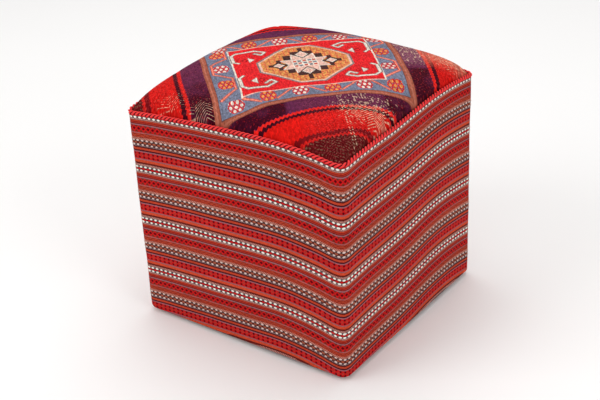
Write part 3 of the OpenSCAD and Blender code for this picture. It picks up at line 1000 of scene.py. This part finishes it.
# One rounded stitch on each point, laid along its row
def makeStitchTree():
    inputs = {"Length": "Float", "Width": "Float", "Height": "Float", "Material": "Material"}
    tree, names, given = newGeometryTree("stitches", inputs)
    ball = addNode(tree, "GeometryNodeMeshUVSphere", Segments=8, Rings=5, Radius=0.5)
    along, outward = [
        addNode(tree, "GeometryNodeInputNamedAttribute", data_type="FLOAT_VECTOR", Name=label)
        for label in ("along", "outward")
    ]
    turn = addNode(tree, "FunctionNodeAxesToRotation", outward, along, primary_axis="Z", secondary_axis="X")
    size = addNode(tree, "ShaderNodeCombineXYZ", given["Length"], given["Width"], given["Height"])
    jitter = addNode(tree, "FunctionNodeRandomValue", Min=0.9, Max=1.08, Seed=7)
    factor = next(s for s in jitter.outputs if s.enabled and s.type == "VALUE")
    scaled = addVector(tree, "SCALE", size, Scale=factor)
    spread = addNode(
        tree, "GeometryNodeInstanceOnPoints",
        Points=given["Geometry"], Instance=ball, Rotation=turn, Scale=scaled,
    )
    endTree(tree, addNode(tree, "GeometryNodeRealizeInstances", Geometry=spread), given["Material"])
    return tree, names


stitchTree = makeStitchTree()


def makeStitches(name, places, size, material, slotName):
    length, width, height = size
    values = {"Length": length, "Width": width, "Height": height, "Material": material}
    return growMesh(name, directedPoints(name + "Places", places), *stitchTree, values, slotName)


def makeYarnMaterial(name, colour, roughness=0.75):
    return spinWool(Paint(name, roughness, colour, Sheen_Weight=0.02, Specular_IOR_Level=0.1), roughness)


# A point of the band's face, from its place on the flat strip, with the row's direction and the one outwards
def onBand(around, level):
    rest = around % perimeter
    for side in ringOrder:
        if rest <= sideLength(side):
            break
        rest -= sideLength(side)
    t = 2 * rest / sideLength(side) - 1
    depth = level + rowDrop(around, level)
    here = wallPoint(side, t, depth)
    ahead = wallPoint(side, min(t + band["ahead"], 1), depth)
    if t > band["turning"]:  # close to the corner the direction is taken from behind
        ahead = 2 * here - wallPoint(side, t - band["ahead"], depth)
    below = wallPoint(side, t, depth + band["below"])
    along = (ahead - here).normalized()
    out = (below - here).cross(along).normalized()
    return here, along, out


# Two rows of beads beside each of these levels, without the one that the seam cord covers
def makeBeads(name, levels):
    look = floats[name]
    rows = [level + side * look["gap"] for level in levels for side in (-1, 1)]
    places = []
    for row in rows:
        if row > band["top"]:
            places += [onBand((n + 0.001) * beadPitch, row) for n in range(band["beadsRound"])]
    wool = makeYarnMaterial(name + "Wool", look["colour"])
    beads = makeStitches(name, places, look["size"], wool, "side_band")
    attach(beads, "root")
    return beads


def makeSideBand():
    columns = ringSteps(band["sideSteps"], band["endSteps"])
    ring = closedRing("sideBand", columns, len(bandRows), bandPoint, bandCloth)
    ring.data.materials.append(makeBandMaterial())
    whites = [band["firstRow"] + band["period"] * k for k in range(band["repeats"])]
    white = makeBeads("whiteFloats", whites)
    pale = makeBeads("paleFloats", [level + band["palePlace"] for level in whites])
    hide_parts("side_band")
    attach(ring, "root")


makeSideBand()
print("side band woven")

# Seam cord: two plies twisted round each other

cord = {
    "plyRadius": 0.00172, "twistRadius": 0.00168, "inset": 0.0016,
    "stroke": 0.0079,  # from one visible turn to the next
    "ringsPerTurn": 10, "sides": 8, "sideSteps": 70, "endSteps": 6,
    # The dark red low on the plies is painted shade in the grooves between them; the crest colour is the
    # wool's red
    "grooveShade": (104, 4, 18), "crest": (240, 60, 60),
}


def makeCordTree():
    tree, names, given = newGeometryTree("twistedCord", {
        "Turns": "Float", "Rings": "Int", "Twist Radius": "Float", "Ply Radius": "Float",
        "Material": "Material",
    })
    line = addNode(tree, "GeometryNodeMeshToCurve", Mesh=given["Geometry"])
    path = addNode(tree, "GeometryNodeResampleCurve", Curve=line, Count=given["Rings"])
    factor = tree.nodes.new("GeometryNodeSplineParameter").outputs["Factor"]
    tangent = tree.nodes.new("GeometryNodeInputTangent")
    out = addVector(tree, "NORMALIZE", addVector(tree, "CROSS_PRODUCT", tangent, (0, 0, 1)))
    up = addVector(tree, "CROSS_PRODUCT", out, tangent)
    angle = Formula(tree, factor) * given["Turns"] * (2 * math.pi)
    ring = addNode(
        tree, "GeometryNodeCurvePrimitiveCircle",
        Radius=given["Ply Radius"], Resolution=cord["sides"],
    )
    both = tree.nodes.new("GeometryNodeJoinGeometry")
    for phase in (math.pi, 0.0):
        turned = angle + phase
        outwards = addVector(tree, "SCALE", out, Scale=turned.use("COSINE") * given["Twist Radius"])
        upwards = addVector(tree, "SCALE", up, Scale=turned.use("SINE") * given["Twist Radius"])
        move = addVector(tree, "ADD", outwards, upwards)
        ply = addNode(tree, "GeometryNodeSetPosition", Geometry=path, Offset=move)
        tube = addNode(tree, "GeometryNodeCurveToMesh", Curve=ply, Profile_Curve=ring)
        connect(tree, tube, both.inputs[0])
    real = addNode(tree, "GeometryNodeRealizeInstances", Geometry=both)

    # How far each point stands from the cord's middle, which its colour follows: the low points between the
    # plies get painted shade
    middle = addNode(tree, "GeometryNodeCurveToMesh", Curve=path)
    near = addNode(tree, "GeometryNodeProximity", middle, target_element="EDGES")
    marked = addNode(
        tree, "GeometryNodeStoreNamedAttribute",
        Geometry=real, Name="rise", Value=near.outputs["Distance"],
    )
    endTree(tree, marked, given["Material"])
    return tree, names


# The cord's wool: its red on the plies' crests, and painted shade where they dip into the grooves between
# them
def makeCordMaterial():
    paint = Paint("cordWool", 0.7, cord["grooveShade"], Specular_IOR_Level=0.15)
    rise = addNode(paint.tree, "ShaderNodeAttribute", attribute_name="rise")
    paint.over((Formula(paint.tree, rise.outputs["Fac"]) / cord["twistRadius"] - 1.12) * 2.0, cord["crest"])
    return spinWool(paint)


def makeSeamCord():
    points = []
    for side, t in ringSteps(cord["sideSteps"], cord["endSteps"]):
        drop = cordDepth + rowDrop(aroundAt(side, t), 0)
        points.append(wallPoint(side, t, drop, cord["inset"]))
    path = bpy.data.meshes.new("cordPath")
    count = len(points)
    path.from_pydata([tuple(p) for p in points], [(k, (k + 1) % count) for k in range(count)], [])
    turns = round(perimeter / cord["stroke"] / 2)
    values = {
        "Turns": float(turns), "Rings": turns * cord["ringsPerTurn"], "Twist Radius": cord["twistRadius"],
        "Ply Radius": cord["plyRadius"], "Material": makeCordMaterial(),
    }
    rope = growMesh("seamCord", path, *makeCordTree(), values, "top_seam_cord")
    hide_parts("top_seam_cord")
    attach(rope, "root")


makeSeamCord()
print("seam cord twisted")

# Closing seam: whip stitches that join the band's ends at the back left corner

closing = {
    "count": 43, "first": 0.018, "step": 0.008, "slant": 35.0,
    "size": (0.0085, 0.0019, 0.0022), "colour": (122, 20, 24), "roughness": 0.6,
}


def makeClosingSeam():
    places = []
    slant = math.radians(closing["slant"])
    out = Vector((-1, 1, 0)).normalized()
    for k in range(closing["count"]):
        depth = closing["first"] + closing["step"] * k
        here = wallPoint(2, 1, depth)
        down = (wallPoint(2, 1, depth + band["below"]) - here).normalized()
        across = out.cross(down).normalized()
        places.append((here, across * math.cos(slant) + down * math.sin(slant), out))
    thread = makeYarnMaterial("closingThread", closing["colour"], closing["roughness"])
    seam = makeStitches("closingSeam", places, closing["size"], thread, "band_closing_seam")
    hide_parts("band_closing_seam")
    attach(seam, "root")


makeClosingSeam()
print("closing seam sewn")

# Padding, which the cloths hide

padding = {
    "gap": 0.0003, "sideGap": 0.0004, "deckGap": 0.0001, "seatWadding": 0.006, "foamInset": 0.0125,
    "foamLean": 0.88,  # how far up to the seam the deck is, so how much the foam's underside leans
    "steps": 60, "sideSteps": 24, "endSteps": 4, "foam": (238, 224, 178), "wadding": (240, 240, 235),
}

# Rows of the side wadding: height, and whether it lies outside, on the panels or on the deck's edge
waddingRows = [
    (0.364, "outside"), (0.30, "outside"), (0.20, "outside"), (0.10, "outside"), (0.0145, "outside"),
    (0.0145, "panel"), (0.10, "panel"), (0.20, "panel"), (0.331, "panel"), (0.334, "deck"), (0.364, "deck"),
]


# Open cells or fluff of this size
def makePadMaterial(name, colour, size):
    paint = Paint(name, 0.95, colour, Specular_IOR_Level=0.2)
    cells = addNode(paint.tree, "ShaderNodeTexVoronoi", Vector=paint.place, Scale=1 / size)
    distance = Formula(paint.tree, cells.outputs["Distance"])
    fluff = paint.noise(size * 2, 4.0)
    paint.shade(fluff * 0.2 + distance * 0.15 + 0.82)
    return paint.done(distance + fluff, size * 0.4)


def makeSeatFoam():
    inset = kilim["thickness"] + padding["seatWadding"] + 2 * padding["gap"]

    def lower(u, v):
        x, y = planPoint(u, v, padding["foamInset"])
        lean = leanAt(u, v, padding["foamLean"])
        return Vector((x + lean.x, y + lean.y, pouf["deckTop"] + padding["deckGap"]))

    foam = closedSheet("seatFoam", spacedSteps(padding["steps"]), underTop(inset), lower)
    foam.data.materials.append(makePadMaterial("polyFoam", padding["foam"], 0.0014))
    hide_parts("seat_foam")
    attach(foam, "root")


def makeSeatWadding(material):
    start = kilim["thickness"] + padding["gap"]
    lower = underTop(start + padding["seatWadding"])
    sheet = closedSheet("seatWadding", spacedSteps(padding["steps"]), underTop(start), lower)
    sheet.data.materials.append(material)
    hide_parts("seat_wadding")
    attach(sheet, "root")


def makeSideWadding(material):
    outer = band["thickness"] + padding["sideGap"]
    inner = pouf["panelInset"] - padding["sideGap"]

    def section(side, t, row):
        z, layer = waddingRows[row % len(waddingRows)]
        u, v = ringPoint(side, t)
        x, y = planPoint(u, v, outer if layer == "outside" else inner)
        lean = Vector((0, 0, 0)) if layer == "panel" else leanAt(u, v, z / seamHeight(u, v))
        return Vector((x, y, z)) + lean

    columns = ringSteps(padding["sideSteps"], padding["endSteps"])
    wrap = closedRing("sideWadding", columns, len(waddingRows), section)
    wrap.data.materials.append(material)
    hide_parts("side_wadding")
    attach(wrap, "root")


makeSeatFoam()
wadding = makePadMaterial("polyWadding", padding["wadding"], 0.003)
makeSeatWadding(wadding)
makeSideWadding(wadding)
print("padding laid")

# Dust cover: black spun-bonded cloth over the box's underside

cover = {
    "inset": 0.012, "bottom": 0.00405, "thickness": 0.0007, "steps": 60, "pull": 0.2,
    "colour": (34, 34, 38), "fibre": 0.0012, "dots": 700,
}


def makeDustCover():
    def surface(u, v, z):
        x, y = planPoint(u, v, cover["inset"])
        return Vector((x, y, z)) + leanAt(u, v, 0) * (abs(u) ** 3 + abs(v) ** 3) * 0.5

    low = cover["bottom"]
    top = low + cover["thickness"]
    sheet = closedSheet(
        "dustCover", spacedSteps(cover["steps"], cover["pull"]), lambda u, v: surface(u, v, top),
        lambda u, v: surface(u, v, low),
    )
    paint = Paint("spunCloth", 0.8, cover["colour"], Specular_IOR_Level=0.3)
    fibres = paint.noise(cover["fibre"], 3.0, (1, 3, 1))
    voronoi = addNode(
        paint.tree, "ShaderNodeTexVoronoi", Scale=cover["dots"], Randomness=0.1, Vector=paint.place,
    )
    dots = Formula(paint.tree, voronoi.outputs["Distance"])
    paint.shade(fibres * 0.5 + dots * 0.3 + 0.6)
    sheet.data.materials.append(paint.done(fibres + dots, 0.0002))
    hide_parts("dust_cover")
    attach(sheet, "root")


makeDustCover()
print("dust cover laid")

# Materials of the pieces that come from the CAD frame

def makeGrainGroup():
    tree, given, result = newGroup("woodGrain", {"Place": None, "Ring": 0.012}, ["Grain", "Pore"])
    scaled = addVector(tree, "SCALE", given["Place"], Scale=given["Ring"] ** -1.0)
    wobble = noiseAt(tree, scaled, 1.0, 2.0, (0.3, 0.3, 0.08))
    x, y = splitPlace(tree, scaled, 1.0)
    connect(tree, (x + y * 0.4 + wobble * 5.0) % 1.0, result["Grain"])
    connect(tree, noiseAt(tree, given["Place"], 0.0012, 3.0, (1, 1, 0.1)), result["Pore"])
    return tree


grainGroup = makeGrainGroup()


def makeWoodMaterial(name, light, dark, ring, roughness):
    paint = Paint(name, roughness, light, Specular_IOR_Level=0.4)
    wood = paint.group(grainGroup, Ring=ring)
    paint.over(wood["Grain"] ** 3.0 * 0.8, dark)
    paint.shade(wood["Pore"] * 0.3 + 0.85)
    return paint.done(wood["Pore"], 0.0003)


def makeMetalMaterial(name, colour, roughness):
    paint = Paint(name, roughness, colour, Metallic=1.0)
    bloom = paint.noise(0.004, 3.0)
    paint.shade(bloom * 0.4 + 0.78)
    return paint.done(paint.noise(0.0008), 0.00005, bloom * 0.3 + (roughness - 0.15))


def makeGlideMaterial():
    paint = Paint("mouldedBrown", 0.45, (74, 48, 34))
    scuff = paint.noise(0.003, 4.0)
    paint.shade(scuff * 0.5 + 0.75)
    return paint.done(scuff, 0.0001, scuff * 0.3 + 0.32)


def dressNodes():
    finishes = {
        "wood": makeWoodMaterial("planedSoftwood", (206, 172, 122), (168, 120, 74), 0.010, 0.7),
        "hardboard": makeWoodMaterial("hardboardFace", (120, 80, 52), (104, 66, 42), 0.05, 0.6),
        "plywood": makeWoodMaterial("plywoodFace", (218, 186, 136), (190, 148, 100), 0.03, 0.65),
        "zinc_screws": makeMetalMaterial("zincPlate", (206, 204, 190), 0.4),
        "staple_wire": makeMetalMaterial("galvanisedWire", (190, 190, 194), 0.35),
        "glides": makeGlideMaterial(),
    }
    for row in frame["record"]["subparts"]:
        node = frame["nodes"].get(row["node"])
        if node is None or row["material_slot"] not in finishes:
            continue
        node.data.materials.clear()
        node.data.materials.append(finishes[row["material_slot"]])


dressNodes()
print("frame pieces finished")

# Studio: a pale floor, soft lamps and a white background

studio = {"floor": (253, 252, 251), "floorHalf": 6.0, "ambient": 0.5}
lamps = [
    # name, place, aimed at, size, power
    ("frontLamp", (-1.6, -2.6, 2.2), (0, 0, 0.2), 2.2, 44),
    ("rightLamp", (3.0, -0.6, 1.7), (0, 0, 0.2), 2.0, 30),
    ("topLamp", (-0.4, 0.8, 3.0), (0, 0, 0.3), 2.5, 38),
]


def makeFloor():
    edge = studio["floorHalf"]
    mesh = bpy.data.meshes.new("studioFloor")
    corners = [(-edge, -edge, 0), (edge, -edge, 0), (edge, edge, 0), (-edge, edge, 0)]
    mesh.from_pydata(corners, [], [(0, 1, 2, 3)])
    floor = addObject("studioFloor", mesh)
    paint = Paint("paleFloor", 0.9, studio["floor"], Specular_IOR_Level=0.1)
    paint.shade(paint.noise(0.4) * 0.02 + 0.99)
    mesh.materials.append(paint.done())


def makeLamps():
    for name, place, target, size, power in lamps:
        data = bpy.data.lights.new(name, "AREA")
        data.size = size
        data.energy = power
        aim = (Vector(target) - Vector(place)).to_track_quat("-Z", "Y")
        addObject(name, data).matrix_world = Matrix.Translation(place) @ aim.to_matrix().to_4x4()


# White where the camera, a reflection or a look through glass meets it, and dimmer as a light
def makeWorld():
    world = bpy.data.worlds.new("studioWorld")
    bpy.context.scene.world = world
    world.use_nodes = True
    tree = world.node_tree
    tree.nodes.clear()
    rays = formulasOf(tree, tree.nodes.new("ShaderNodeLightPath"))
    seen = allOf(rays["Is Camera Ray"], rays["Is Glossy Ray"], rays["Is Transmission Ray"])
    strength = seen * (1 - studio["ambient"]) + studio["ambient"]
    glow = addNode(tree, "ShaderNodeBackground", Color=(1, 1, 1, 1), Strength=strength)
    addNode(tree, "ShaderNodeOutputWorld", glow)


makeFloor()
makeLamps()
makeWorld()
bpy.context.scene.view_settings.view_transform = "Standard"
print("studio lit")
